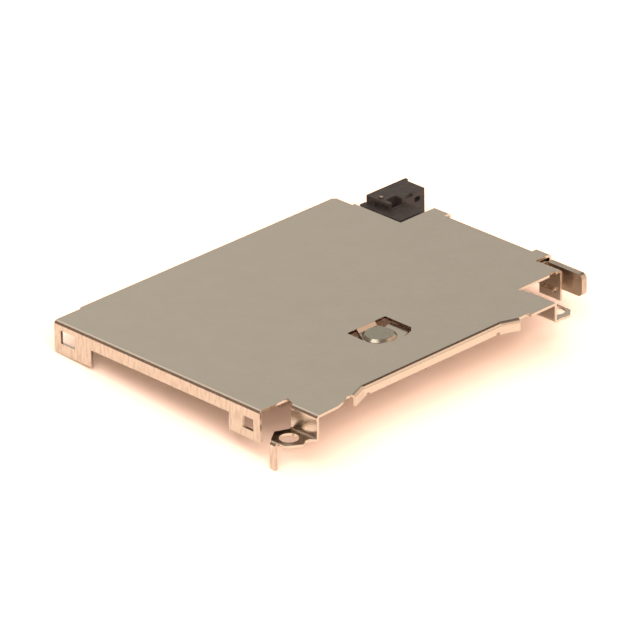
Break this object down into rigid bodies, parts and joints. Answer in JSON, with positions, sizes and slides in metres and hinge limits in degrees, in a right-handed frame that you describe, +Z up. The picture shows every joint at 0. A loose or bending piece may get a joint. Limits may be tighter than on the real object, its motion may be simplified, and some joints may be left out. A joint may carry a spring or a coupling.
{
  "type": "compact flash card connector eject cover",
  "caption": "Folded sheet metal cover for a compact flash card connector, with mounting feet, a push rod with an eject button and a card lever.",
  "frame": {"origin": "on the circuit board's top face, under the cover's card entry edge, in the middle of the card slot", "axes": "+X the way the card goes in, from the entry edge to the header side; +Y toward the push rod's side; +Z up from the board"},
  "size_m": [0.0417, 0.0586, 0.0071],
  "materials": {
    "cover_sheet": "satin rolled sheet, warm grey",
    "rod_steel": "satin, tumbled edges",
    "stud_steel": "turned and headed",
    "black_plastic": "moulded, matt black"
  },
  "bodies": {
    "cover": {"cover": "cover_sheet", "pivot_stud": "stud_steel"},
    "rod": {"push_rod": "rod_steel", "eject_button": "black_plastic"},
    "lever": {"eject_lever": "rod_steel", "drive_pin": "stud_steel"}
  },
  "joints": [
    {"name": "rod_slide", "type": "slide", "parent": "cover", "child": "rod", "axis": [1, 0, 0], "range_m": [-0.006, 0]},
    {"name": "lever_pivot", "type": "hinge", "parent": "cover", "child": "lever", "pos_m": [0.03095, -0.00025, 0.0024], "axis": [0, 0, 1], "range_deg": [0, 13.1]}
  ],
  "couplings": [
    {"joint": "lever_pivot", "follows": "rod_slide", "rad_per_m": -38.002}
  ]
}
